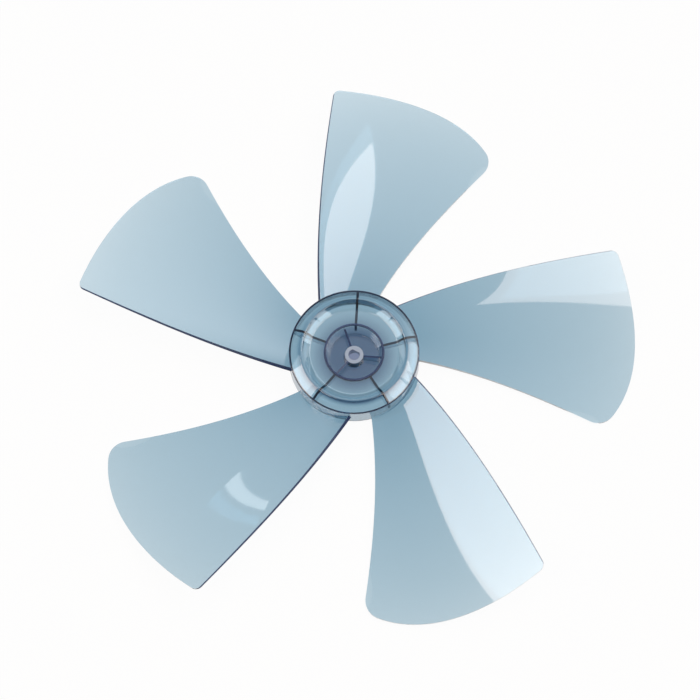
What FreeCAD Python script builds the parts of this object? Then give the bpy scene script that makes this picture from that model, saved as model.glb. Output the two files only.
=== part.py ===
import FreeCAD, Part
import math
import os

Vector = FreeCAD.Vector

# Five-blade impeller of a pedestal fan, moulded in one piece of clear tinted plastic.
# The origin is on the shaft axis, at the rear mouth of the bore. +Z points forward, the way the air leaves.
# Angles run counter-clockwise seen from the front. The impeller turns clockwise, so straight edges trail.
# Sizes are in millimetres and angles in degrees.

# Whole impeller
BLADE_COUNT = 5
TIP_RADIUS = 201.0
WALL = 2.0

# Hub shell: an outer skirt, a raised ring on the front, a flat panel and a deep well.
# The front skin and the floor of the well are thicker than the skirt and the wall of the well.
SKIN = 3.0
HUB_RADIUS = 46.0
SKIRT_DRAFT = 0.5
SKIRT_DEPTH = 16.0
RIDGE_RADIUS = 36.9
RIDGE_RISE = 4.4
PANEL_RADIUS = 31.0
PANEL_DROP = 0.7
WELL_MOUTH_RADIUS = 19.6
WELL_FLOOR_RADIUS = 17.4
RIM_BEVEL = 0.6

# Boss and bore: a round shaft that ends in a flat-sided drive section
BOSS_FRONT_RADIUS = 6.6
BOSS_BASE_RADIUS = 8.0
BOSS_LENGTH = 9.0
SHAFT_DIAMETER = 8.0
SHAFT_ACROSS_FLAT = 7.0
PILOT_CLEARANCE = 0.25
DRIVE_CLEARANCE = 0.03
DRIVE_LENGTH = 4.5
DRIVE_FLAT_ANGLE = 62.0

# Radial ribs behind the front skin, one for each blade
RIB_THICKNESS = 1.8
RIB_DEPTH = 10.0
RIB_ANGLE = 14.0

# Spokes from the boss to the wall of the well
SPOKE_COUNT = 3
SPOKE_THICKNESS = 1.4
SPOKE_ANGLE = 110.0
SPOKE_WALL_DROP = 3.0
SPOKE_BOSS_DROP = 0.4

# Blade outline: two edges through four stations, and a tip that falls away from the swept circle as it leads
STATION_SHARES = (-0.026, 0.284, 0.606, 1.04)
TRAILING_ANGLES = (52.6, 33.7, 26.5, 21.2)
LEADING_ANGLES = (-2.5, -9.2, -13.7, -18.0)
TIP_ANGLES = (24.0, 8.0, -7.0, -20.0)
TIP_INSETS = (0.6, 2.0, 7.9, 28.5)
LEADING_CORNER_RADIUS = 13.0
TRAILING_CORNER_RADIUS = 5.0

# Blade form at the same stations: edge heights behind the hub's front edge, hollow and thickness
TRAILING_DROPS = (6.4, 1.2, -1.3, -0.5)
LEADING_DROPS = (14.0, 16.6, 18.5, 18.3)
HOLLOWS = (2.2, 3.0, 4.1, 5.4)
THICKNESSES = (3.5, 2.6, 2.1, 1.3)
# Chord positions where the blade's faces are set, from beyond the leading edge to beyond the trailing edge
CHORD_SHARES = (-0.15, 0.175, 0.5, 0.825, 1.15)

# Heights above the rear plane that several features share
RIDGE_Z = SKIRT_DEPTH + RIDGE_RISE
PANEL_Z = SKIRT_DEPTH - PANEL_DROP
WELL_FLOOR_Z = SKIN
WALL_CORE = WALL / 2
TALL = 4 * RIDGE_Z + TIP_RADIUS


def polar(radius, angle, z=0.0):
    turn = math.radians(angle)
    return Vector(radius * math.cos(turn), radius * math.sin(turn), z)


def turned(shape, angle):
    copy = shape.copy()
    copy.rotate(Vector(0, 0, 0), Vector(0, 0, 1), angle)
    return copy


def revolved(profile):
    points = [Vector(radius, 0, z) for radius, z in profile]
    face = Part.Face(Part.makePolygon(points + points[:1]))
    return face.revolve(Vector(0, 0, 0), Vector(0, 0, 1), 360)


def inset(profile, walls):
    """The profile moved sideways, each run by its own wall, and each corner where two moved runs meet."""
    moved = []
    for (r0, z0), (r1, z1), wall in zip(profile, profile[1:], walls):
        length = math.hypot(r1 - r0, z1 - z0)
        side = ((z0 - z1) * wall / length, (r1 - r0) * wall / length)
        moved.append(((r0 + side[0], z0 + side[1]), (r1 - r0, z1 - z0)))
    corners = [moved[0][0]]
    for (p, d), (q, e) in zip(moved, moved[1:]):
        along = ((q[0] - p[0]) * e[1] - (q[1] - p[1]) * e[0]) / (d[0] * e[1] - d[1] * e[0])
        corners.append((p[0] + along * d[0], p[1] + along * d[1]))
    (p, d) = moved[-1]
    corners.append((p[0] + d[0], p[1] + d[1]))
    return corners


def ring_edges(shape, radius, z):
    """Circular edges of a turned shape that lie at one radius and height."""
    found = []
    for edge in shape.Edges:
        if edge.Curve.TypeId != "Part::GeomCircle":
            continue
        here = edge.Curve.Center.z
        if abs(edge.Curve.Radius - radius) < 1e-4 and abs(here - z) < 1e-4:
            found.append(edge)
    return found


def hub_front():
    """Front profile of the hub, from the skirt's rear edge in to the floor of the well."""
    return [
        (HUB_RADIUS, 0.0),
        (HUB_RADIUS - SKIRT_DRAFT, SKIRT_DEPTH),
        (RIDGE_RADIUS, RIDGE_Z),
        (PANEL_RADIUS, PANEL_Z),
        (WELL_MOUTH_RADIUS, PANEL_Z),
        (WELL_FLOOR_RADIUS, WELL_FLOOR_Z),
    ]


def hub_shell():
    front = hub_front()
    floor_run = front + [(0.0, WELL_FLOOR_Z)]
    rear = inset(floor_run, (WALL, SKIN, SKIN, SKIN, WALL, SKIN))
    rear[0] = (rear[0][0], 0.0)
    shell = revolved(floor_run + rear[::-1])
    rim = front[1]
    return shell.makeChamfer(RIM_BEVEL, ring_edges(shell, *rim))


def boss():
    return revolved([(0.0, 0.0), (BOSS_BASE_RADIUS, 0.0), (BOSS_FRONT_RADIUS, BOSS_LENGTH), (0.0, BOSS_LENGTH)])


def plate(profile, thickness, angle):
    """A flat web in a radial plane, drawn as radius and height."""
    points = [Vector(radius, -thickness / 2, z) for radius, z in profile]
    face = Part.Face(Part.makePolygon(points + points[:1]))
    return turned(face.extrude(Vector(0, thickness, 0)), angle)


def ribs():
    """Webs that fill the height between the skin and a rear edge, from the well's wall out to the skirt."""
    front = hub_front()
    under_skin = revolved([(radius, z - WALL_CORE) for radius, z in front[1:5]] + [
        (WELL_FLOOR_RADIUS + WALL_CORE, 0.0),
        (HUB_RADIUS - WALL_CORE, 0.0),
    ])
    rear_z = SKIRT_DEPTH - RIB_DEPTH
    outline = [(0.0, rear_z), (HUB_RADIUS - WALL_CORE, rear_z), (HUB_RADIUS - WALL_CORE, RIDGE_Z), (0.0, RIDGE_Z)]
    webs = []
    for number in range(BLADE_COUNT):
        web = plate(outline, RIB_THICKNESS, RIB_ANGLE + number * 360 / BLADE_COUNT)
        webs.append(web.common(under_skin))
    return webs


def spokes():
    """Webs that hold the boss: their front edges climb from the boss to the wall of the well."""
    lean = (WELL_MOUTH_RADIUS - WELL_FLOOR_RADIUS) / (PANEL_Z - WELL_FLOOR_Z)
    wall_z = PANEL_Z - SPOKE_WALL_DROP
    wall_radius = WELL_FLOOR_RADIUS + lean * (wall_z - WELL_FLOOR_Z) + WALL_CORE
    boss_z = BOSS_LENGTH - SPOKE_BOSS_DROP
    outline = [
        (BOSS_FRONT_RADIUS - WALL_CORE, WELL_FLOOR_Z - WALL_CORE),
        (WELL_FLOOR_RADIUS + WALL_CORE, WELL_FLOOR_Z - WALL_CORE),
        (wall_radius, wall_z),
        (BOSS_FRONT_RADIUS, boss_z),
        (BOSS_FRONT_RADIUS - WALL_CORE, boss_z),
    ]
    return [plate(outline, SPOKE_THICKNESS, SPOKE_ANGLE + n * 360 / SPOKE_COUNT) for n in range(SPOKE_COUNT)]


def bore():
    """Round at the rear, where the shaft enters, and flat-sided at the front, where it drives."""
    round_length = BOSS_LENGTH - DRIVE_LENGTH
    pilot = Part.makeCylinder(SHAFT_DIAMETER / 2 + PILOT_CLEARANCE, round_length + WALL, Vector(0, 0, -WALL))
    drive_radius = SHAFT_DIAMETER / 2 + DRIVE_CLEARANCE
    drive = Part.makeCylinder(drive_radius, DRIVE_LENGTH + WALL, Vector(0, 0, round_length))
    flat = SHAFT_ACROSS_FLAT - SHAFT_DIAMETER / 2 + DRIVE_CLEARANCE
    land = Part.makeBox(drive_radius, 2 * drive_radius, DRIVE_LENGTH + WALL, Vector(flat, -drive_radius, round_length))
    return pilot.fuse(drive.cut(turned(land, DRIVE_FLAT_ANGLE)))


def station_radii():
    return [HUB_RADIUS + share * (TIP_RADIUS - HUB_RADIUS) for share in STATION_SHARES]


def edge_curve(angles, z):
    curve = Part.BSplineCurve()
    curve.interpolate([polar(radius, angle, z) for radius, angle in zip(station_radii(), angles)])
    return curve.toShape()


def upright_edges(shape, beyond, leading):
    """Upright corner edges out past a radius, on the leading or the trailing side of the blade."""
    blade_middle = (TRAILING_ANGLES[-1] + LEADING_ANGLES[-1]) / 2
    found = []
    for edge in shape.Edges:
        low, high = edge.Vertexes[0].Point, edge.Vertexes[-1].Point
        if math.hypot(low.x - high.x, low.y - high.y) > 1e-6 or math.hypot(low.x, low.y) < beyond:
            continue
        angle = math.degrees(math.atan2(low.y, low.x))
        if (angle < blade_middle) == leading:
            found.append(edge)
    return found


def plan_face(edges):
    return Part.Face(Part.Wire(Part.__sortEdges__(edges)))


def arc_edge(radius, start, end, z):
    """An arc about the shaft axis, between two angles."""
    return Part.Arc(polar(radius, start, z), polar(radius, (start + end) / 2, z), polar(radius, end, z)).toShape()


def beyond_tip(z):
    """The plan area outside the tip curve, out to well past the swept circle."""
    tip = Part.BSplineCurve()
    tip.interpolate([polar(TIP_RADIUS - inward, angle, z) for angle, inward in zip(TIP_ANGLES, TIP_INSETS)])
    far = 2 * TIP_RADIUS
    start, end = TIP_ANGLES[0], TIP_ANGLES[-1]
    sides = [
        Part.LineSegment(tip.StartPoint, polar(far, start, z)).toShape(),
        Part.LineSegment(tip.EndPoint, polar(far, end, z)).toShape(),
    ]
    return plan_face([tip.toShape(), arc_edge(far, start, end, z)] + sides)


def blade_outline():
    """An upright prism with the blade's outline in plan, its two tip corners rounded."""
    low = -TALL / 2
    radii = station_radii()
    trailing = edge_curve(TRAILING_ANGLES, low)
    leading = edge_curve(LEADING_ANGLES, low)
    outer = arc_edge(radii[-1], TRAILING_ANGLES[-1], LEADING_ANGLES[-1], low)
    inner = Part.LineSegment(polar(radii[0], LEADING_ANGLES[0], low), polar(radii[0], TRAILING_ANGLES[0], low)).toShape()
    plan = plan_face([trailing, outer, leading, inner]).cut(beyond_tip(low))
    prism = plan.Faces[0].extrude(Vector(0, 0, TALL))
    middle_radius = radii[2]
    prism = prism.makeFillet(LEADING_CORNER_RADIUS, upright_edges(prism, middle_radius, True))
    return prism.makeFillet(TRAILING_CORNER_RADIUS, upright_edges(prism, middle_radius, False))


def below_blade_face(side):
    """Everything under the blade's front face (side 1) or its rear face (side -1)."""
    stations = zip(
        station_radii(), TRAILING_ANGLES, LEADING_ANGLES, TRAILING_DROPS, LEADING_DROPS, HOLLOWS, THICKNESSES
    )
    rows = []
    for radius, trail_angle, lead_angle, trail_drop, lead_drop, hollow, thickness in stations:
        row = []
        for share in CHORD_SHARES:
            angle = lead_angle + share * (trail_angle - lead_angle)
            drop = lead_drop + share * (trail_drop - lead_drop) + 4 * hollow * share * (1 - share)
            row.append(polar(radius, angle, SKIRT_DEPTH - drop + side * thickness / 2))
        rows.append(row)
    surface = Part.BSplineSurface()
    surface.interpolate(rows)
    return surface.toShape().extrude(Vector(0, 0, -TALL))


def blade():
    """One blade, from the middle of the skirt's wall to the tip."""
    inside_hub = Part.makeCylinder(HUB_RADIUS - WALL_CORE, TALL, Vector(0, 0, -TALL / 2))
    return blade_outline().common(below_blade_face(1)).cut([below_blade_face(-1), inside_hub]).Solids[0]


def impeller():
    one_blade = blade()
    blades = [turned(one_blade, number * 360 / BLADE_COUNT) for number in range(BLADE_COUNT)]
    whole = hub_shell().fuse([boss()] + ribs() + spokes() + blades)
    return whole.cut(bore()).removeSplitter().Solids[0]


os.makedirs("parts", exist_ok=True)
fan_blade = impeller()
fan_blade.exportStep("parts/fan_blade.step")
print("fan_blade volume", round(fan_blade.Volume), "mm3, valid", fan_blade.isValid(), fan_blade.BoundBox)
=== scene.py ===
# %% [markdown]
# # A clear blue fan impeller
# The object is the spare impeller of a pedestal fan: five swept blades and a cup-shaped hub, moulded in
# one piece of clear blue plastic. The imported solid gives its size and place. This lesson models a finer
# skin of the same form, gives it a tinted clear finish, and lights it on a white floor.

import math

import bpy
import numpy as np
from mathutils import Matrix, Vector
from mathutils.kdtree import KDTree


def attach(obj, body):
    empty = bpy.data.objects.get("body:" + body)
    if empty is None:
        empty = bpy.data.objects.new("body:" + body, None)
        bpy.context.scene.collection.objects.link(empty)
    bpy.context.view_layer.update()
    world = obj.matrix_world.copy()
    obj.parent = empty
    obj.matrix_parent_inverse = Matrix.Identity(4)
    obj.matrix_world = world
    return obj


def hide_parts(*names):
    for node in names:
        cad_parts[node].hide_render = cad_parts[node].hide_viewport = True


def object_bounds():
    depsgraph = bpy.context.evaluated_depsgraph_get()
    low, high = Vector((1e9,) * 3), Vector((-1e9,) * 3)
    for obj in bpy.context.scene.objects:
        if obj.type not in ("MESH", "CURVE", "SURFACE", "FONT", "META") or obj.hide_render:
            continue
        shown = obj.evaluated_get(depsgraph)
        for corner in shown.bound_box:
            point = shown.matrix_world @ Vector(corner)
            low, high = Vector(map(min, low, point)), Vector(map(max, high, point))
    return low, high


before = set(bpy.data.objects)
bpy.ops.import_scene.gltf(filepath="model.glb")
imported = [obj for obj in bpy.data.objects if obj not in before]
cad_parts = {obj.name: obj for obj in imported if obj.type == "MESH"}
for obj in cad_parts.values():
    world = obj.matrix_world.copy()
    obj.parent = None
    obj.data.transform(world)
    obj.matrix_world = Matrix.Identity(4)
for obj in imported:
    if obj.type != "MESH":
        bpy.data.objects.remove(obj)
cad_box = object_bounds()
MM = 0.001
print("packed part", [[round(x / MM, 1) for x in corner] for corner in cad_box], "mm")

# %% [markdown]
# ## Drawing a section
# The hub, its ribs and its spokes all start as a drawn section. By hand that is a plane merged to one
# point, and the point is then extruded from corner to corner. Operators act on all that is selected, so
# everything is deselected before a piece is begun.

# %% Draw a section, one corner at a time
WELD = 0.002


def drawn(name, corners):
    """A new piece in edit mode: a line through corners given as radius and height, in millimetres."""
    bpy.ops.object.select_all(action="DESELECT")
    bpy.ops.mesh.primitive_plane_add(size=MM)
    piece = bpy.context.object
    piece.name = name
    bpy.ops.object.mode_set(mode="EDIT")
    bpy.ops.mesh.merge(type="CENTER")
    points = [Vector((radius * MM, 0, z * MM)) for radius, z in corners]
    bpy.ops.transform.translate(value=points[0])
    for here, there in zip(points, points[1:]):
        bpy.ops.mesh.extrude_region_move(TRANSFORM_OT_translate={"value": there - here})
    return piece


def finished(piece):
    """Back to object mode, with doubles merged and faces pointing outwards."""
    bpy.ops.mesh.select_all(action="SELECT")
    bpy.ops.mesh.remove_doubles(threshold=WELD * MM)
    bpy.ops.mesh.normals_make_consistent(inside=False)
    bpy.ops.object.mode_set(mode="OBJECT")
    print(piece.name, len(piece.data.polygons), "faces")
    return piece


# %% [markdown]
# ## The hub
# On the real hub one wall runs from the skirt over a raised ring, across a flat panel and down into a
# deep well, and a boss stands in the well's floor. It is a turned form, so its section is drawn once and
# spun about the shaft. The rear is the front moved in: by a thin wall at the skirt and the well, and by a
# thicker skin elsewhere. One more corner on the panel bounds the top of the well's wall.

# %% Sizes of the hub's section, as radius and height in millimetres
WALL = 2.0
SKIN = 3.0
HUB_RADIUS = 46.0
RIM = (45.5, 16.0)
RIDGE = (36.9, 20.9)
PANEL = (31.0, 15.3)
WELL_MOUTH = (19.6, 15.3)
WELL_FLOOR = (17.4, 3.0)
BOSS_BASE = (8.0, 0.0)
BOSS_FRONT = (6.6, 9.0)
BORE_RADIUS = 4.25
DRIVE_RADIUS = 4.03
DRIVE_START = 4.5
RING_WIDTH = 1.4


def moved_in(line, walls):
    """The line moved sideways, each run by its own wall, and each corner where two moved runs meet."""
    runs = []
    for (r0, z0), (r1, z1), wall in zip(line, line[1:], walls):
        length = math.hypot(r1 - r0, z1 - z0)
        start = (r0 + (z0 - z1) * wall / length, z0 + (r1 - r0) * wall / length)
        runs.append((start, (r1 - r0, z1 - z0)))
    corners = []
    for (p, d), (q, e) in zip(runs, runs[1:]):
        along = ((q[0] - p[0]) * e[1] - (q[1] - p[1]) * e[0]) / (d[0] * e[1] - d[1] * e[0])
        corners.append((p[0] + along * d[0], p[1] + along * d[1]))
    return corners


front = [(HUB_RADIUS, 0.0), RIM, RIDGE, PANEL, WELL_MOUTH, WELL_FLOOR]
rear = moved_in(front + [(0.0, WELL_FLOOR[1])], (WALL, SKIN, SKIN, SKIN, WALL, SKIN))
boss_foot = BOSS_BASE[0] + (BOSS_FRONT[0] - BOSS_BASE[0]) * WELL_FLOOR[1] / BOSS_FRONT[1]
centre = [
    (boss_foot, WELL_FLOOR[1]),
    BOSS_FRONT,
    (DRIVE_RADIUS, BOSS_FRONT[1]),
    (DRIVE_RADIUS, DRIVE_START),
    (BORE_RADIUS, DRIVE_START),
    (BORE_RADIUS, 0.0),
]
WELL_RING = (WELL_MOUTH[0] + RING_WIDTH, PANEL[1])
front.insert(front.index(WELL_MOUTH), WELL_RING)
section = front + centre + rear[::-1] + [(HUB_RADIUS - WALL, 0.0)]
print("hub section has", len(section), "corners, rear", [tuple(round(x, 2) for x in p) for p in rear])

# %% Round the section's corners and spin it about the shaft
RIDGE_REAR, PANEL_REAR, MOUTH_REAR, FLOOR_REAR = rear[1:]
ROUNDS = {
    RIM: 0.6,
    RIDGE: 1.5,
    PANEL: 0.6,
    WELL_MOUTH: 0.5,
    WELL_FLOOR: 0.5,
    BOSS_FRONT: 0.4,
    (HUB_RADIUS, 0.0): 0.4,
    RIDGE_REAR: 4.0,
    PANEL_REAR: 0.6,
    MOUTH_REAR: 0.3,
    FLOOR_REAR: 0.5,
}
ROUND_STEPS = 5
TURN_STEPS = 240
AT_CORNER = 0.01


def pick(piece, test):
    """Select the points of the piece in edit mode whose place passes the test."""
    bpy.ops.object.mode_set(mode="OBJECT")
    for point in piece.data.vertices:
        point.select = test(point.co)
    for edge in piece.data.edges:
        edge.select = all(piece.data.vertices[i].select for i in edge.vertices)
    bpy.ops.object.mode_set(mode="EDIT")


hub = drawn("hub", section + section[:1])
bpy.ops.mesh.select_all(action="SELECT")
bpy.ops.mesh.remove_doubles(threshold=WELD * MM)
for (radius, z), size in ROUNDS.items():
    corner = Vector((radius * MM, 0, z * MM))
    pick(hub, lambda place: (place - corner).length < AT_CORNER * MM)
    bpy.ops.mesh.bevel(offset=size * MM, segments=ROUND_STEPS, affect="VERTICES")
bpy.ops.mesh.select_all(action="SELECT")
bpy.ops.mesh.spin(steps=TURN_STEPS, angle=2 * math.pi, center=(0, 0, 0), axis=(0, 0, 1))
finished(hub)

# %% [markdown]
# ## Ribs, spokes and the drive flat
# Five webs stiffen the panel from behind, and three more hold the boss. Each is a flat plate, so its
# outline is drawn and filled, then extruded to its thickness. The plates end inside the walls they join,
# so that the union later has no thin slivers. A small block fills one side of the bore's front half: that
# is the flat that the motor shaft drives.


# %% Plates in a plane through the shaft
def plate(name, outline, thickness, angle):
    """A flat plate with the drawn outline, turned about the shaft by the angle in degrees."""
    piece = drawn(name, outline)
    bpy.ops.mesh.select_all(action="SELECT")
    bpy.ops.mesh.edge_face_add()
    bpy.ops.transform.translate(value=(0, -thickness / 2 * MM, 0))
    bpy.ops.mesh.extrude_region_move(TRANSFORM_OT_translate={"value": (0, thickness * MM, 0)})
    finished(piece)
    piece.data.transform(Matrix.Rotation(math.radians(angle), 4, "Z"))
    return piece


def joined(pieces):
    """All the pieces as one, under the first one's name."""
    bpy.ops.object.select_all(action="DESELECT")
    for piece in pieces:
        piece.select_set(True)
    bpy.context.view_layer.objects.active = pieces[0]
    bpy.ops.object.join()
    return pieces[0]


# %% Five ribs behind the panel
BLADE_COUNT = 5
RIB_THICKNESS = 1.8
RIB_REAR = 6.0
RIB_ANGLE = 14.0
RIB_FOOT = 1.8
CORE = WALL / 2
rib_outline = [
    (HUB_RADIUS - CORE, RIB_REAR),
    (RIM[0] - CORE / 2, RIM[1] - CORE),
    (RIDGE[0], RIDGE[1] - CORE),
    (PANEL[0], PANEL[1] - CORE),
    (WELL_MOUTH[0], WELL_MOUTH[1] - CORE),
    (WELL_FLOOR[0] + RIB_FOOT, RIB_REAR),
]
PITCH = 360 / BLADE_COUNT
rib_turns = [RIB_ANGLE + n * PITCH for n in range(BLADE_COUNT)]
ribs = joined([plate("rib", rib_outline, RIB_THICKNESS, turn) for turn in rib_turns])

# %% Three spokes from the boss to the well's wall, and the flat in the bore
SPOKE_COUNT = 3
SPOKE_THICKNESS = 1.4
SPOKE_ANGLE = 110.0
SPOKE_WALL_TOP = (20.06, 12.3)
SPOKE_BOSS_TOP = 8.6
spoke_outline = [
    (BOSS_FRONT[0] - CORE, WELL_FLOOR[1] - CORE),
    (WELL_FLOOR[0] + CORE, WELL_FLOOR[1] - CORE),
    SPOKE_WALL_TOP,
    (BOSS_FRONT[0], SPOKE_BOSS_TOP),
    (BOSS_FRONT[0] - CORE, SPOKE_BOSS_TOP),
]
spoke_turns = [SPOKE_ANGLE + n * 360 / SPOKE_COUNT for n in range(SPOKE_COUNT)]
spokes = joined([plate("spoke", spoke_outline, SPOKE_THICKNESS, turn) for turn in spoke_turns])

FLAT_FROM_AXIS = 3.03
FLAT_ANGLE = 62.0
FLAT_WIDTH = 6.0
FLAT_RECESS = 0.02
land_top = BOSS_FRONT[1] - FLAT_RECESS
land_outline = [
    (FLAT_FROM_AXIS, DRIVE_START),
    (BOSS_FRONT[0] - CORE, DRIVE_START),
    (BOSS_FRONT[0] - CORE, land_top),
    (FLAT_FROM_AXIS, land_top),
]
land = plate("drive flat", land_outline, FLAT_WIDTH, FLAT_ANGLE)

# %% [markdown]
# ## One blade
# A blade is a thin sheet between a curved leading edge, a straighter trailing edge and a tip that falls
# back, and its front is hollow. No transform operator bends a grid into that form, so a grid is added and
# each of its points is put where the blade's own curves say. Points crowd towards the edges, where the
# corners are round. Solidify then gives the sheet its thickness, and a Bevel modifier rounds its edge.

# %% The blade's curves, at four stations from hub to tip
TIP_RADIUS = 201.0
STATIONS = (-0.026, 0.284, 0.606, 1.04)
TRAILING_ANGLES = (52.6, 33.7, 26.5, 21.2)
LEADING_ANGLES = (-2.5, -9.2, -13.7, -18.0)
TRAILING_DROPS = (6.4, 1.2, -1.3, -0.5)
LEADING_DROPS = (14.0, 16.6, 18.5, 18.3)
HOLLOWS = (2.2, 3.0, 4.1, 5.4)
THICKNESSES = (3.5, 2.6, 2.1, 1.3)
TIP_ANGLES = (24.0, 8.0, -7.0, -20.0)
TIP_INSETS = (0.6, 2.0, 7.9, 28.5)


def through(places, values, at):
    """The cubic through four values or points, read at other places."""
    at = np.asarray(at, float)[..., None]
    total = 0.0
    for i, value in enumerate(np.asarray(values, float).reshape(len(places), -1)):
        weight = 1.0
        for j, place in enumerate(places):
            if j != i:
                weight = weight * (at - place) / (places[i] - place)
        total = total + weight * value
    return total


def run_shares(points):
    """Share of the whole run, in plan, at which each of the points lies."""
    steps = np.hypot(*np.diff(points[:, :2], axis=0).T)
    return np.append(0.0, np.cumsum(steps)) / steps.sum()


def chord_line(chord, along):
    """Points from root to tip at one share of the chord: x, y, height and thickness, in millimetres."""
    lead, trail, low, high, hollow = map(
        np.array, (LEADING_ANGLES, TRAILING_ANGLES, LEADING_DROPS, TRAILING_DROPS, HOLLOWS)
    )
    radii = HUB_RADIUS + np.array(STATIONS) * (TIP_RADIUS - HUB_RADIUS)
    turns = np.radians(lead + chord * (trail - lead))
    drops = low + chord * (high - low) + 4 * hollow * chord * (1 - chord)
    points = np.column_stack([radii * np.cos(turns), radii * np.sin(turns), RIM[1] - drops, THICKNESSES])
    return through(run_shares(points), points, along)


# %% The tip curve, and the rounds at its two corners
LEADING_CORNER = 13.0
TRAILING_CORNER = 5.0
CORNERS_FROM = 0.6
TIP_OVERRUN = 0.1
FINE = 3000
tip_turns = np.radians(TIP_ANGLES)
tip_radii = TIP_RADIUS - np.array(TIP_INSETS)
tip_points = np.column_stack([tip_radii * np.cos(tip_turns), tip_radii * np.sin(tip_turns)])
tip = through(run_shares(tip_points), tip_points, np.linspace(-TIP_OVERRUN, 1 + TIP_OVERRUN, FINE))
tip_angle = np.arctan2(tip[:, 1], tip[:, 0])[::-1]
tip_reach = np.hypot(tip[:, 0], tip[:, 1])[::-1]


def inside_tip(points):
    """How far points lie inside the tip curve, measured along the radius."""
    angle = np.arctan2(points[..., 1], points[..., 0])
    return np.interp(angle, tip_angle, tip_reach) - np.hypot(points[..., 0], points[..., 1])


def corner_round(edge_chord, size):
    """Centre of the round between an edge and the tip, and the points where it touches them."""
    edge = chord_line(edge_chord, np.linspace(CORNERS_FROM, 1.0, FINE))[:, :2]
    side = 1 if edge_chord == 0 else -1
    found = []
    for here, there in zip(edge, edge[1:]):
        along = (there - here) / np.hypot(*(there - here))
        middle = here + size * side * np.array([-along[1], along[0]])
        gaps = np.hypot(*(tip - middle).T)
        if inside_tip(middle) > 0:
            found.append((abs(gaps.min() - size), middle, here, tip[gaps.argmin()]))
    return min(found, key=lambda item: item[0])[1:]


def past_round(points, middle, first, second, size):
    """True where points lie in the corner that the round takes off."""
    a, b = first - middle, second - middle
    p = points - middle
    cross = a[0] * b[1] - a[1] * b[0]
    u = (p[:, 0] * b[1] - p[:, 1] * b[0]) / cross
    v = (a[0] * p[:, 1] - a[1] * p[:, 0]) / cross
    return (u > 0) & (v > 0) & (np.hypot(p[:, 0], p[:, 1]) > size)


corner_sizes = (LEADING_CORNER, TRAILING_CORNER)
rounds = [(*corner_round(edge_chord, size), size) for edge_chord, size in enumerate(corner_sizes)]
print("corner rounds about", [[round(x, 1) for x in middle] for middle, _, _, _ in rounds])

# %% How far each chord line runs, from inside the skirt's wall to the rounded tip
CHORD_POINTS = 72
SPAN_POINTS = 60
ROOT_RADIUS = HUB_RADIUS - CORE
chords = (1 - np.cos(np.pi * np.arange(CHORD_POINTS) / (CHORD_POINTS - 1))) / 2
shares = np.linspace(0, 1, FINE)
runs = []
for chord in chords:
    line = chord_line(chord, shares)[:, :2]
    outside = inside_tip(line) < 0
    for middle, first, second, size in rounds:
        outside |= past_round(line, middle, first, second, size)
    runs.append((shares[np.argmax(np.hypot(*line.T) > ROOT_RADIUS)], shares[np.argmax(outside)]))
ends = [end for _, end in runs]
print("tip lies at", round(min(ends), 3), "to", round(max(ends), 3), "of each run")

# %% Put the grid's points on the blade
TIP_CROWDING = 0.5
bpy.ops.object.select_all(action="DESELECT")
bpy.ops.mesh.primitive_grid_add(x_subdivisions=CHORD_POINTS - 1, y_subdivisions=SPAN_POINTS - 1, size=2.0)
blade = bpy.context.object
blade.name = "blade"
rows = np.linspace(0, 1, SPAN_POINTS)
rows = rows * (1 + TIP_CROWDING - TIP_CROWDING * rows)
spans = [start + rows * (end - start) for start, end in runs]
lines = np.array([chord_line(chord, span) for chord, span in zip(chords, spans)])
thickness_group = blade.vertex_groups.new(name="thickness")
for index, point in enumerate(blade.data.vertices):
    column = round((point.co.x + 1) / 2 * (CHORD_POINTS - 1))
    row = round((point.co.y + 1) / 2 * (SPAN_POINTS - 1))
    x, y, height, thickness = lines[column, row]
    point.co = (x * MM, y * MM, height * MM)
    thickness_group.add([index], thickness / max(THICKNESSES), "REPLACE")
bpy.ops.object.mode_set(mode="EDIT")
finished(blade)


# %% Thickness and a rounded edge
def applied(piece, kind, **settings):
    """Add a modifier to the piece, set it up and apply it."""
    bpy.ops.object.select_all(action="DESELECT")
    piece.select_set(True)
    bpy.context.view_layer.objects.active = piece
    bpy.ops.object.modifier_add(type=kind)
    modifier = piece.modifiers[-1]
    for name, value in settings.items():
        setattr(modifier, name, value)
    bpy.ops.object.modifier_apply(modifier=modifier.name)
    return piece


EDGE_ROUND = 0.5
EDGE_STEPS = 3
EDGE_BEND = math.radians(45)
applied(blade, "SOLIDIFY", thickness=max(THICKNESSES) * MM, offset=0.0, vertex_group="thickness")
bend_only = {"limit_method": "ANGLE", "angle_limit": EDGE_BEND}
applied(blade, "BEVEL", width=EDGE_ROUND * MM, segments=EDGE_STEPS, **bend_only)
print("one blade", len(blade.data.polygons), "faces")

# %% [markdown]
# ## One moulding
# The plastic is one body, and light passes through it as one body. Overlapping pieces would show walls
# inside walls, so the blades, ribs and spokes are united with the hub by Boolean modifiers. Normals are
# then weighted by face size, so that the hub's slopes mirror the lamps as true cones do.

# %% Copy the blade round the hub and unite everything
blades = [blade]
for number in range(1, BLADE_COUNT):
    copy = blade.copy()
    copy.data = blade.data.copy()
    copy.data.transform(Matrix.Rotation(math.radians(number * PITCH), 4, "Z"))
    bpy.context.scene.collection.objects.link(copy)
    blades.append(copy)
blades = joined(blades)

impeller = hub
impeller.name = "impeller"
impeller.data.name = "impeller"
for extra in (ribs, spokes, land, blades):
    applied(impeller, "BOOLEAN", operation="UNION", solver="EXACT", object=extra)
    bpy.data.objects.remove(extra)
print("united", len(impeller.data.polygons), "faces")

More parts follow.
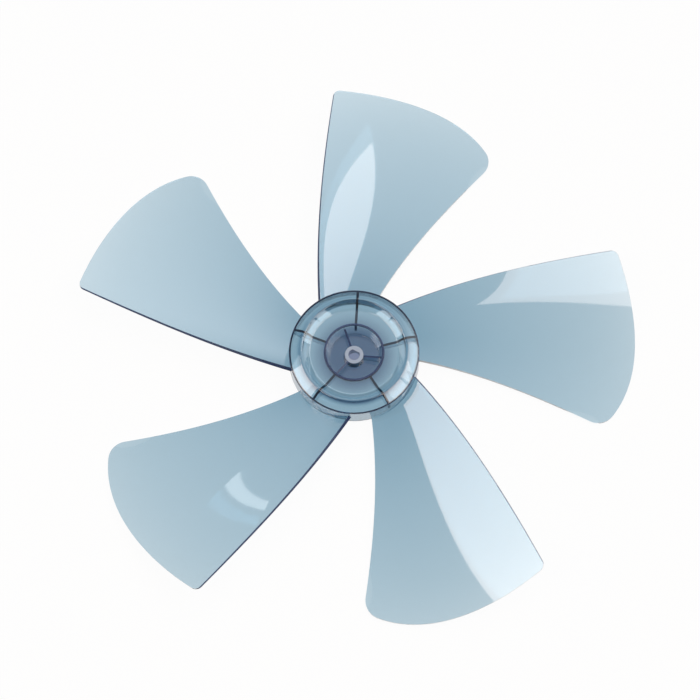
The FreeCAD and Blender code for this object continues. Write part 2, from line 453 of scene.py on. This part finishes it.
# %% Clean the seams, smooth the skin and measure it
SMOOTH_ANGLE = 32
SEAM_WELD = 0.004
bpy.ops.object.select_all(action="DESELECT")
impeller.select_set(True)
bpy.context.view_layer.objects.active = impeller
bpy.ops.object.mode_set(mode="EDIT")
bpy.ops.mesh.select_all(action="SELECT")
bpy.ops.mesh.remove_doubles(threshold=SEAM_WELD * MM)
bpy.ops.mesh.dissolve_degenerate(threshold=WELD * MM)
bpy.ops.mesh.select_all(action="DESELECT")
bpy.ops.mesh.select_non_manifold()
bpy.ops.object.mode_set(mode="OBJECT")
open_edges = sum(edge.select for edge in impeller.data.edges)
bpy.ops.object.shade_smooth_by_angle(angle=math.radians(SMOOTH_ANGLE))
applied(impeller, "WEIGHTED_NORMAL", keep_sharp=True)
triangles = sum(len(face.vertices) - 2 for face in impeller.data.polygons)
print("impeller", triangles, "triangles,", open_edges, "open edges")

# %% [markdown]
# ## Painted shade on faces seen end-on
# Where the eye looks along a thin wall, the real plastic looks nearly slate, from light bent inside it.
# Here
# that dark is painted shade: on the blades' trailing edges, the edges of the ribs and spokes, the top of
# the well's wall, the rim and, faintly, the skirt. Each such face gets a share of painted shade from 0 to
# 1, which the finish reads.

# %% Points along the five trailing edges, to measure from
trailing_edge = chord_line(1, shares)
edge_points = KDTree(BLADE_COUNT * FINE)
for number in range(BLADE_COUNT):
    spin = Matrix.Rotation(math.radians(number * PITCH), 3, "Z")
    for index, (x, y) in enumerate(trailing_edge[:, :2]):
        edge_points.insert(spin @ Vector((x, y, 0)), number * FINE + index)
edge_points.balance()
print("trailing edges", BLADE_COUNT * FINE, "points")

# %% Paint slate shade on the thin faces that are seen end-on
EDGE_REACH = 0.5
EDGE_LOW = 0.3
FACING = 0.9
SIDEWAYS = 0.5
BLADE_EDGE_SHADE = 0.85
RIB_EDGE_SHADE = 0.6
SPOKE_EDGE_SHADE = 0.6
RING_EDGE_SHADE = 0.7
RIM_EDGE_SHADE = 0.5
SKIRT_EDGE_SHADE = 0.25


def painted_shade_share(face):
    """How much painted slate shade a face shows, by where it lies and which way it faces."""
    x, y, z = face.center / MM
    radius = math.hypot(x, y)
    faces_up = face.normal.z
    if radius > HUB_RADIUS:
        _, index, gap = edge_points.find((x, y, 0))
        on_edge = gap < EDGE_REACH and z > trailing_edge[index % FINE, 2] - EDGE_LOW
        return BLADE_EDGE_SHADE if on_edge else 0.0
    if faces_up < -FACING and abs(z - RIB_REAR) < EDGE_REACH:
        return RIB_EDGE_SHADE
    if faces_up > FACING and SPOKE_BOSS_TOP < z < SPOKE_WALL_TOP[1] and radius > BOSS_BASE[0]:
        return SPOKE_EDGE_SHADE
    on_ring = WELL_MOUTH[0] - EDGE_REACH < radius < WELL_RING[0]
    if faces_up > 0 and on_ring and z > WELL_RING[1] - EDGE_REACH:
        return RING_EDGE_SHADE
    on_skirt = radius > RIM[0] - EDGE_REACH
    if faces_up > 0 and on_skirt and z > RIM[1] - EDGE_REACH:
        return RIM_EDGE_SHADE
    return SKIRT_EDGE_SHADE if abs(faces_up) < SIDEWAYS and on_skirt else 0.0


# Painted shade: each face's share of slate, standing in for the dark of light bent along a thin wall.
edge_shade_shares = [painted_shade_share(face) for face in impeller.data.polygons]
impeller.data.attributes.new("painted_edge_shade", "FLOAT", "FACE").data.foreach_set("value", edge_shade_shares)
print(sum(mark > 0 for mark in edge_shade_shares), "faces seen end-on")

# %% [markdown]
# ## Clear blue plastic
# The real plastic is a clear styrene with a blue tint and a polished skin. A clear shader bends light at
# the skin, a coat strengthens its reflections, and an absorbing volume tints light by the length of its
# path, so thin tips come out pale and the hub deep. Two mixes add what a clear shader leaves out: the
# boss's matt end, and a painted slate shade on the faces seen end-on.


# %% Shader maths as Python
class Wire:
    """An output of a shader node. Arithmetic on it adds Math nodes."""

    def __init__(self, tree, socket=None):
        self.tree = tree
        self.socket = socket

    def node(self, kind, settings=(), values=(), output=0):
        """Add any node: its settings are set first, then its sockets get values or links."""
        made = self.tree.nodes.new(kind)
        for name, value in dict(settings).items():
            setattr(made, name, value)
        for name, value in dict(values).items():
            if isinstance(value, Wire):
                self.tree.links.new(value.socket, made.inputs[name])
            else:
                made.inputs[name].default_value = value
        return Wire(self.tree, made.outputs[output] if made.outputs else None)

    def maths(self, operation, first, second):
        """One Math node on two wires or numbers."""
        return self.node("ShaderNodeMath", {"operation": operation}, {0: first, 1: second})

    def __add__(self, other):
        return self.maths("ADD", self, other)

    def __radd__(self, other):
        return self.maths("ADD", other, self)

    def __rsub__(self, other):
        return self.maths("SUBTRACT", other, self)

    def __mul__(self, other):
        return self.maths("MULTIPLY", self, other)

    def __rmul__(self, other):
        return self.maths("MULTIPLY", other, self)


def new_material(name):
    """An empty node material, and a wire to start its nodes from."""
    material = bpy.data.materials.new(name)
    material.use_nodes = True
    material.node_tree.nodes.clear()
    return material, Wire(material.node_tree)


# %% The tinted plastic
TINT = (0.18, 0.485, 0.63, 1.0)
TINT_PER_METRE = 490.0
plastic, shade = new_material("clear blue plastic")
skin = shade.node(
    "ShaderNodeBsdfPrincipled",
    values={
        "Base Color": (0.98, 0.99, 0.995, 1.0),
        "Roughness": 0.03,
        "IOR": 1.57,
        "Specular IOR Level": 1.0,
        "Transmission Weight": 1.0,
        "Coat Weight": 1.0,
        "Coat IOR": 1.7,
    },
)
tint = shade.node("ShaderNodeVolumeAbsorption", values={"Color": TINT, "Density": TINT_PER_METRE})

# %% The boss's end is cut flat and matt, so it shows as a pale ring
END_RADIUS = 6.5
END_Z = 8.85
END_COLOUR = (0.42, 0.5, 0.62, 1)
place = shade.node("ShaderNodeTexCoord", output="Object")
height = shade.node("ShaderNodeSeparateXYZ", values={0: place}, output="Z")
level = shade.node("ShaderNodeVectorMath", {"operation": "MULTIPLY"}, {0: place, 1: (1, 1, 0)})
from_axis = shade.node("ShaderNodeVectorMath", {"operation": "LENGTH"}, {0: level}, output="Value")
high_up = shade.maths("GREATER_THAN", height, END_Z * MM)
on_end = high_up * shade.maths("LESS_THAN", from_axis, END_RADIUS * MM)
matt_end = shade.node("ShaderNodeBsdfDiffuse", values={"Color": END_COLOUR})
pale = shade.node("ShaderNodeMixShader", values={0: on_end, 1: skin, 2: matt_end})

# %% Edges seen end-on get a painted shade of deep slate blue
SLATE_SHADE_COLOUR = (0.065, 0.1, 0.22, 1)
painted_edge_shade = shade.node("ShaderNodeAttribute", {"attribute_name": "painted_edge_shade"}, output="Fac")
# A matt slate mixed in by each face's share: painted shade, not a colour of the plastic.
painted_slate = shade.node("ShaderNodeBsdfDiffuse", values={"Color": SLATE_SHADE_COLOUR})
surface = shade.node("ShaderNodeMixShader", values={0: painted_edge_shade, 1: pale, 2: painted_slate})
shade.node("ShaderNodeOutputMaterial", values={"Surface": surface, "Volume": tint})
impeller.data.materials.clear()
impeller.data.materials.append(plastic)
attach(impeller, "root")
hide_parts("fan_blade")
print("finish", plastic.name)

# %% [markdown]
# ## The floor
# The photograph has a plain white ground. The floor is a pale sheet that the lamps light and shade, and
# for rays that the camera, a reflection or the clear plastic sends, most of it also glows at white. Under
# the middle of the hub the glow falls to a dim slate, because no light gets in behind the real well. From
# below the sheet is open, so that the impeller's rear can be looked at.

# %% Two helpers that the floor and the sky share
WHITE = (1, 1, 1, 1)
RAY_KINDS = ("Is Camera Ray", "Is Glossy Ray", "Is Transmission Ray")


def ray_kinds(wire):
    """Whether a ray comes from the camera, a reflection or the clear plastic, as three wires."""
    return [wire.node("ShaderNodeLightPath", output=kind) for kind in RAY_KINDS]


def smooth_rise(wire, value, low, high):
    """A wire that is 0 up to the low value and 1 from the high one on."""
    limits = {"Value": value, "From Min": low, "From Max": high}
    return wire.node("ShaderNodeMapRange", {"interpolation_type": "SMOOTHSTEP"}, limits)


# %% A white floor that keeps a faint shadow
FLOOR_SIZE = 12.0
FLOOR_COLOUR = (0.92, 0.92, 0.92, 1)
GLOW_SHARE = 0.95
HUB_SHADE = (0.2, 0.24, 0.36, 1)
SHADE_INNER = 14.0
SHADE_OUTER = 36.0
SHADE_UP = 3.0
bpy.ops.object.select_all(action="DESELECT")
bpy.ops.mesh.primitive_plane_add(size=FLOOR_SIZE, location=(0, 0, cad_box[0][2]))
floor = bpy.context.object
floor.name = "floor"
paper, shade = new_material("white floor")
seen, mirrored, through_clear = ray_kinds(shade)
# HUB_SHADE is a painted shadow: under the hub's middle the floor's glow colour fades to a dim slate.
spot = shade.node("ShaderNodeTexCoord", output="Object")
from_spot = {0: spot, 1: (0, SHADE_UP * MM, 0)}
from_hub = shade.node("ShaderNodeVectorMath", {"operation": "DISTANCE"}, from_spot, output="Value")
clear_of_hub = smooth_rise(shade, from_hub, SHADE_INNER * MM, SHADE_OUTER * MM)
shaded = {0: clear_of_hub, 6: HUB_SHADE, 7: WHITE}
glow_with_painted_shadow = shade.node("ShaderNodeMix", {"data_type": "RGBA"}, shaded, output=2)
glow = shade.node("ShaderNodeEmission", values={"Color": glow_with_painted_shadow, "Strength": 1.0})
matt = shade.node("ShaderNodeBsdfDiffuse", values={"Color": FLOOR_COLOUR})
looked_at = shade.maths("MINIMUM", seen + mirrored + through_clear, 1.0)
top = shade.node("ShaderNodeMixShader", values={0: looked_at * GLOW_SHARE, 1: matt, 2: glow})
from_below = shade.node("ShaderNodeNewGeometry", output="Backfacing")
nothing = shade.node("ShaderNodeBsdfTransparent")
sheet = shade.node("ShaderNodeMixShader", values={0: from_below, 1: top, 2: nothing})
shade.node("ShaderNodeOutputMaterial", values={"Surface": sheet})
floor.data.materials.append(paper)
print("floor at", round(cad_box[0][2] / MM, 2), "mm")

# %% [markdown]
# ## Studio light
# The sky is dim, with a window's glow on one side that fades at the horizon, and a white backdrop closes
# it off low down. Soft boxes hang round the camera. Each shows in the polished blades as a pale patch
# with a clean edge, so they are placed where the photograph's patches ask for them. A second set of boxes
# shows as the bright slopes of the hub. Those are kept off matt surfaces, so that a matt colour still
# renders about as it is written.

# %% A dim sky with a window's glow
ZENITH = 0.17
WINDOW = 1.8
WINDOW_TURN = math.radians(55)
WINDOW_FALL = 1.3
WINDOW_FOOT = 0.2
WINDOW_FULL = 0.6
world = bpy.data.worlds.new("studio")
bpy.context.scene.world = world
world.use_nodes = True
world.node_tree.nodes.clear()
air = Wire(world.node_tree)
way = air.node("ShaderNodeTexCoord", output="Generated")
to_window = {0: way, 1: (math.cos(WINDOW_TURN), math.sin(WINDOW_TURN), 0)}
facing = air.node("ShaderNodeVectorMath", {"operation": "DOT_PRODUCT"}, to_window, output="Value")
rise = air.node("ShaderNodeSeparateXYZ", values={0: way}, output="Z")
beam = air.maths("POWER", air.maths("MAXIMUM", facing, 0.0), WINDOW_FALL)
window = smooth_rise(air, rise, WINDOW_FOOT, WINDOW_FULL) * beam
sky = ZENITH + WINDOW * window

# %% A white backdrop: all that is seen or seen through the plastic, and the horizon in reflections
BACKDROP_FULL = 0.08
BACKDROP_TOP = 0.2
above = smooth_rise(air, rise, BACKDROP_FULL, BACKDROP_TOP)
seen, mirrored, through_clear = ray_kinds(air)
backdrop = air.maths("MINIMUM", seen + through_clear + mirrored * (1 - above), 1.0)
strength = sky + backdrop * (1 - sky)
light = air.node("ShaderNodeBackground", values={"Strength": strength, "Color": WHITE})
air.node("ShaderNodeOutputWorld", values={"Surface": light})
print("sky and backdrop in", world.name)

# %% Soft boxes that show in the blades
LAMP_COLOUR = (1.0, 0.86, 0.79)
HUB_LAMP_COLOUR = (0.92, 0.98, 1.0)


def soft_box(name, first, second, height, slope, brightness, hub_only=False):
    """An area lamp hung by its top edge, its face sloping down and away from the part, where 1 is white."""
    first, second = Vector(first), Vector(second)
    edge = (second - first).normalized()
    away = Vector((0, 0, 1)).cross(edge)
    if away.dot(first + second) < 0:
        away, edge = -away, -edge
    rise = math.sin(slope) * Vector((0, 0, 1)) - math.cos(slope) * away
    lamp = bpy.data.lights.new(name, "AREA")
    lamp.shape = "RECTANGLE"
    lamp.size = (second - first).length
    lamp.size_y = height
    lamp.energy = brightness * math.pi * lamp.size * lamp.size_y
    lamp.color = HUB_LAMP_COLOUR if hub_only else LAMP_COLOUR
    holder = bpy.data.objects.new(name, lamp)
    facing = Matrix((edge, rise, edge.cross(rise))).transposed().to_4x4()
    if facing.col[2].xyz.dot(first + second) < 0:
        facing = Matrix((-edge, rise, -edge.cross(rise))).transposed().to_4x4()
    holder.matrix_world = Matrix.Translation((first + second) / 2 - rise * height / 2) @ facing
    holder.visible_camera = False
    holder.visible_diffuse = not hub_only
    bpy.context.scene.collection.objects.link(holder)
    print(name, [round(x, 2) for x in holder.matrix_world.translation], "m")


BRIGHTNESS = 2.5
STEEP = math.radians(40)
SLIGHT = math.radians(10)
UPRIGHT = math.radians(90)
main_boxes = {
    "right box": ((0.235, -0.43, 1.5), (0.55, 0.06, 1.5), 1.0, STEEP, 0.76),
    "side box": ((0.55, 0.06, 1.5), (0.8, 0.72, 1.5), 1.3, SLIGHT, 0.78),
    "left box": ((-0.2, -0.28, 1.5), (-1.06, 0.55, 1.5), 0.6, STEEP, 1.0),
    "left lower box": ((-0.751, -0.387, 1.114), (-1.379, 0.219, 1.114), 0.4, STEEP, 1.0),
}
for name, (first, second, height, slope, share) in main_boxes.items():
    soft_box(name, first, second, height, slope, share * BRIGHTNESS)

# %% Boxes that show only in the hub's slopes and in one trailing edge
hub_boxes = {
    "low right box": ((1.166, -1.866, 0.84), (1.942, -1.033, 0.84), 0.35, UPRIGHT, 1.0),
    "low right strip": ((1.942, -1.033, 0.7), (2.179, 0.306, 0.7), 0.5, UPRIGHT, 1.0),
    "low left box": ((-1.166, -1.866, 0.84), (-1.942, -1.033, 0.84), 0.35, UPRIGHT, 1.0),
    "low left strip": ((-1.942, -1.033, 0.7), (-2.2, 0.0, 0.7), 0.5, UPRIGHT, 1.0),
    "right core": ((0.985, -0.77, 1.317), (1.249, -0.044, 1.317), 0.44, UPRIGHT, 0.5),
    "right foot": ((1.249, -0.044, 0.925), (1.104, 0.587, 0.925), 0.34, UPRIGHT, 0.65),
    "left core": ((-1.207, 0.324, 1.166), (-1.15, -0.488, 1.166), 0.444, UPRIGHT, 0.45),
    "back strip": ((-0.7, 1.05, 1.5), (-1.2, 1.6, 1.5), 0.04, 0.0, 0.7),
}
for name, (first, second, height, slope, share) in hub_boxes.items():
    soft_box(name, first, second, height, slope, share * BRIGHTNESS, hub_only=True)

# %% [markdown]
# ## The camera
# The photograph looks down at the front of the impeller from a little off its shaft. The tilt, the
# distance and the lens were fitted to the hub's rings and the five equal blades.

# %% Camera at the photograph's angle
TILT = math.radians(18.64)
ROLL = math.radians(0.53)
DISTANCE = 1.515
PHOTO_SIZE = 700
SENSOR = 36.0
FOCAL_PIXELS = 2173.5
HUB_IN_PHOTO = (354.08, 351.42)
aim = Vector((0, 0, RIM[1] * MM))
back = Vector((0, -math.sin(TILT), math.cos(TILT)))
level_up = Vector((0, math.cos(TILT), math.sin(TILT)))
across = Vector((1, 0, 0))
right = math.cos(ROLL) * across - math.sin(ROLL) * level_up
up = math.sin(ROLL) * across + math.cos(ROLL) * level_up
lens = bpy.data.cameras.new("camera")
lens.sensor_width = SENSOR
lens.lens = FOCAL_PIXELS / PHOTO_SIZE * SENSOR
lens.shift_x = (PHOTO_SIZE / 2 - HUB_IN_PHOTO[0]) / PHOTO_SIZE
lens.shift_y = (HUB_IN_PHOTO[1] - PHOTO_SIZE / 2) / PHOTO_SIZE
camera = bpy.data.objects.new("camera", lens)
turn = Matrix((right, up, back)).transposed().to_4x4()
camera.matrix_world = Matrix.Translation(aim + DISTANCE * back) @ turn
bpy.context.scene.collection.objects.link(camera)
bpy.context.scene.camera = camera
bpy.context.scene.view_settings.view_transform = "Standard"
print("camera", [round(x, 3) for x in camera.location], "lens", round(lens.lens, 1), "mm")
